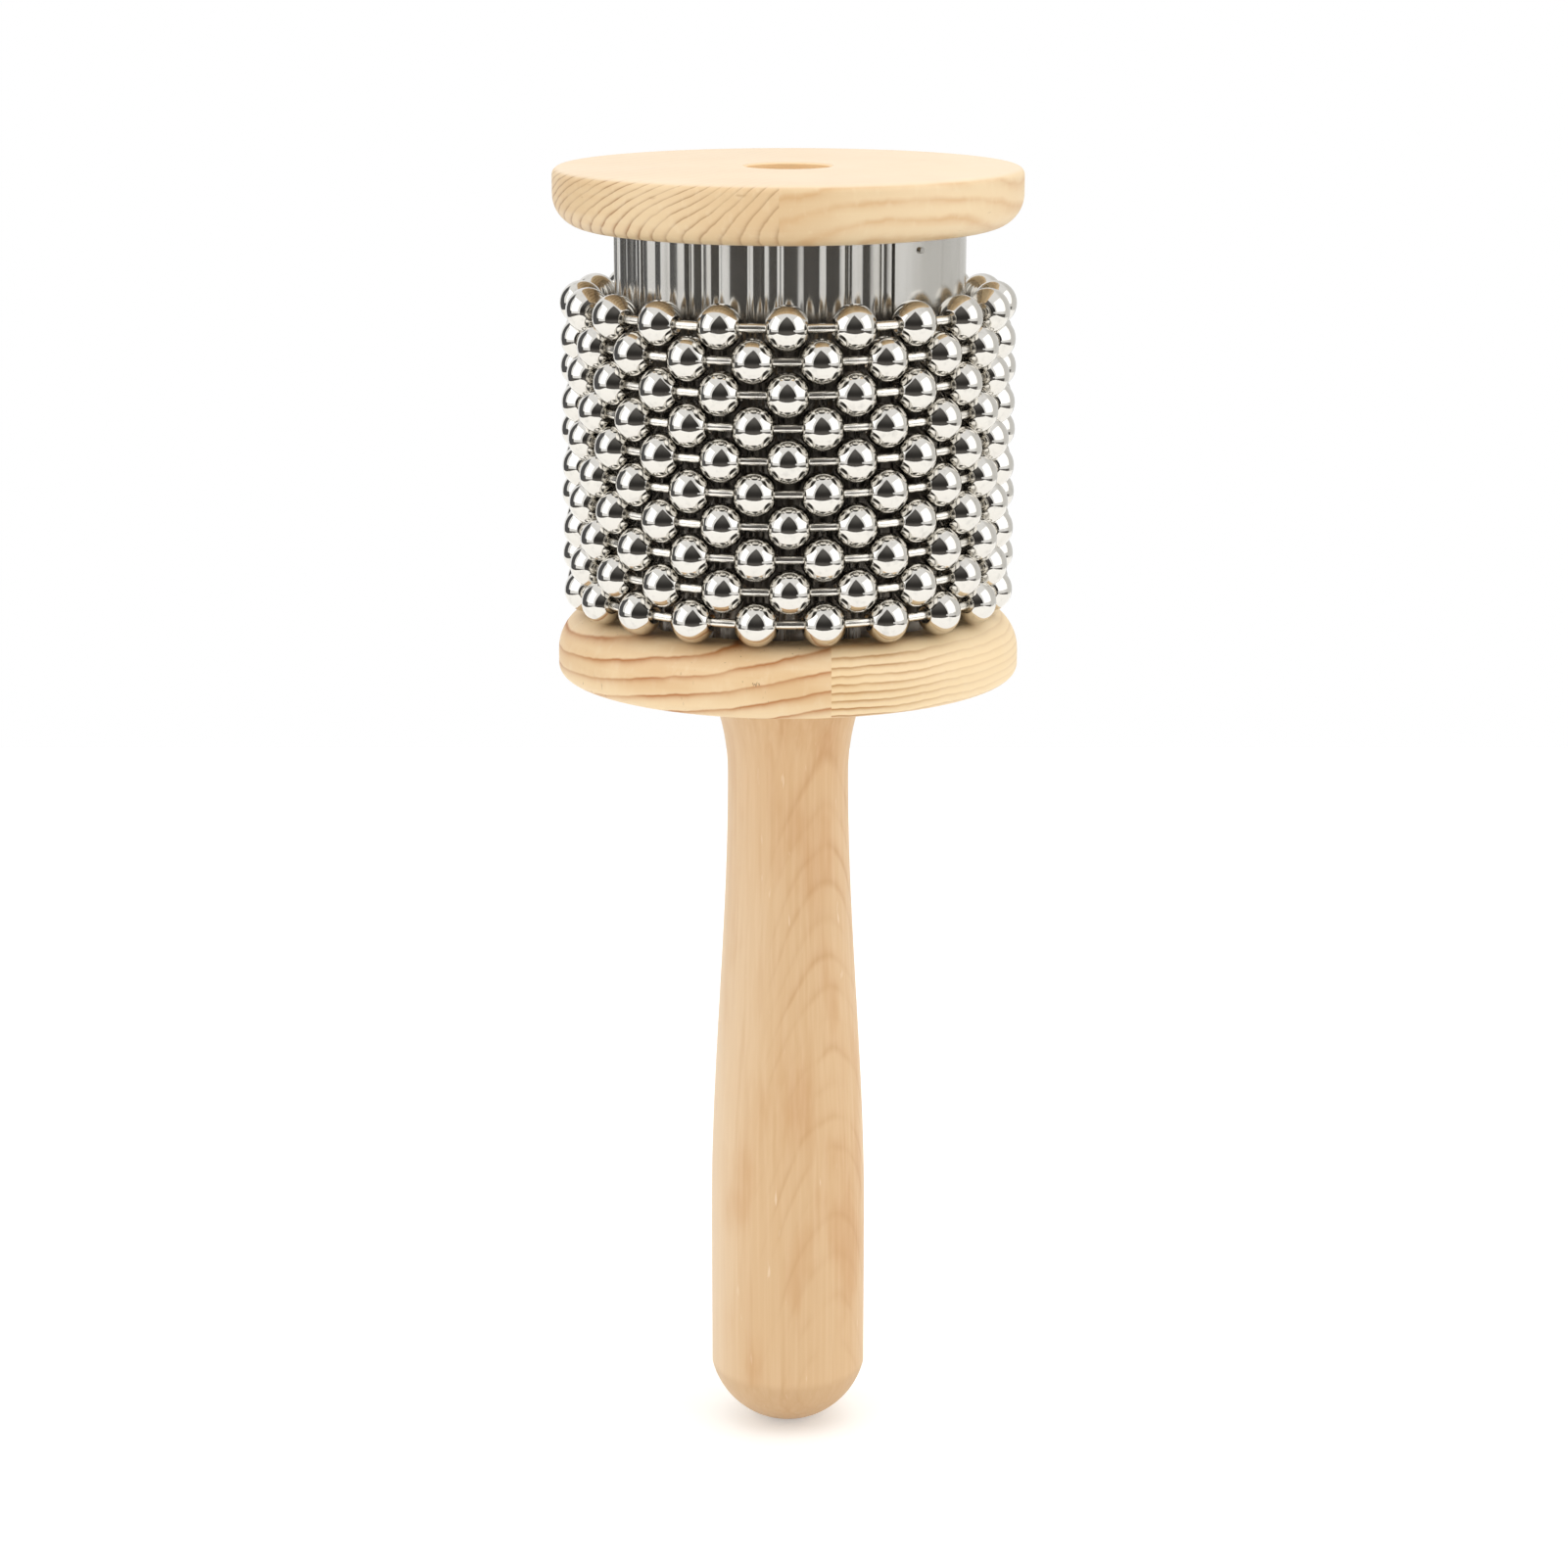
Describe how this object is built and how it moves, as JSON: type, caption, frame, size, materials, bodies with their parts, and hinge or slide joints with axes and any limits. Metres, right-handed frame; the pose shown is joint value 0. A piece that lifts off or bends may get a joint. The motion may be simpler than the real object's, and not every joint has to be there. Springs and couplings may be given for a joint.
{
  "type": "cabasa",
  "caption": "Hand cabasa: a fluted steel drum between wooden discs on a turned handle, wrapped in loops of steel ball chain that turn and scrape round it.",
  "frame": {"origin": "on the axis, at the middle of the handle's straight grip", "axes": "+Z along the axis from the handle up to the drum, -Y to the front, with the seam of the sleeve at the front right"},
  "size_m": [0.07, 0.07, 0.1995],
  "materials": {
    "handle_wood": "sanded, clear sealed",
    "disc_wood": "sanded pine",
    "core_wood": "turned, raw",
    "sleeve_steel": "bright rolled",
    "brad_steel": "bright wire",
    "zinc_steel": "zinc plated",
    "bead_nickel": "polished nickel",
    "link_nickel": "polished nickel"
  },
  "bodies": {
    "handle_and_drum": {"handle": "handle_wood", "lower_disc": "disc_wood", "core": "core_wood", "scraper_sleeve": "sleeve_steel", "sleeve_brads": "brad_steel", "upper_disc": "disc_wood", "screw_washer": "zinc_steel", "handle_screw": "zinc_steel"},
    "chain_loop_01": {"chain_01_beads": "bead_nickel", "chain_01_links": "link_nickel"},
    "chain_loop_02": {"chain_02_beads": "bead_nickel", "chain_02_links": "link_nickel"},
    "chain_loop_03": {"chain_03_beads": "bead_nickel", "chain_03_links": "link_nickel"},
    "chain_loop_04": {"chain_04_beads": "bead_nickel", "chain_04_links": "link_nickel"},
    "chain_loop_05": {"chain_05_beads": "bead_nickel", "chain_05_links": "link_nickel"},
    "chain_loop_06": {"chain_06_beads": "bead_nickel", "chain_06_links": "link_nickel"},
    "chain_loop_07": {"chain_07_beads": "bead_nickel", "chain_07_links": "link_nickel"},
    "chain_loop_08": {"chain_08_beads": "bead_nickel", "chain_08_links": "link_nickel"},
    "chain_loop_09": {"chain_09_beads": "bead_nickel", "chain_09_links": "link_nickel"},
    "chain_loop_10": {"chain_10_beads": "bead_nickel", "chain_10_links": "link_nickel"}
  },
  "joints": [
    {"name": "chain_turn", "type": "hinge", "parent": "handle_and_drum", "child": "chain_loop_01", "pos_m": [0, 0, 0.115], "axis": [0, 0, 1], "continuous": true},
    {"name": "loop_02_lift", "type": "slide", "parent": "chain_loop_01", "child": "chain_loop_02", "axis": [0, 0, 1], "range_m": [0, 0.000889]},
    {"name": "loop_03_lift", "type": "slide", "parent": "chain_loop_01", "child": "chain_loop_03", "axis": [0, 0, 1], "range_m": [0, 0.00178]},
    {"name": "loop_04_lift", "type": "slide", "parent": "chain_loop_01", "child": "chain_loop_04", "axis": [0, 0, 1], "range_m": [0, 0.00267]},
    {"name": "loop_05_lift", "type": "slide", "parent": "chain_loop_01", "child": "chain_loop_05", "axis": [0, 0, 1], "range_m": [0, 0.00356]},
    {"name": "loop_06_lift", "type": "slide", "parent": "chain_loop_01", "child": "chain_loop_06", "axis": [0, 0, 1], "range_m": [0, 0.00445]},
    {"name": "loop_07_lift", "type": "slide", "parent": "chain_loop_01", "child": "chain_loop_07", "axis": [0, 0, 1], "range_m": [0, 0.00533]},
    {"name": "loop_08_lift", "type": "slide", "parent": "chain_loop_01", "child": "chain_loop_08", "axis": [0, 0, 1], "range_m": [0, 0.00622]},
    {"name": "loop_09_lift", "type": "slide", "parent": "chain_loop_01", "child": "chain_loop_09", "axis": [0, 0, 1], "range_m": [0, 0.00711]},
    {"name": "loop_10_lift", "type": "slide", "parent": "chain_loop_01", "child": "chain_loop_10", "axis": [0, 0, 1], "range_m": [0, 0.008]}
  ],
  "couplings": [
    {"joint": "loop_02_lift", "follows": "loop_10_lift", "ratio": 0.11111},
    {"joint": "loop_03_lift", "follows": "loop_10_lift", "ratio": 0.22222},
    {"joint": "loop_04_lift", "follows": "loop_10_lift", "ratio": 0.33333},
    {"joint": "loop_05_lift", "follows": "loop_10_lift", "ratio": 0.44444},
    {"joint": "loop_06_lift", "follows": "loop_10_lift", "ratio": 0.55556},
    {"joint": "loop_07_lift", "follows": "loop_10_lift", "ratio": 0.66667},
    {"joint": "loop_08_lift", "follows": "loop_10_lift", "ratio": 0.77778},
    {"joint": "loop_09_lift", "follows": "loop_10_lift", "ratio": 0.88889}
  ]
}
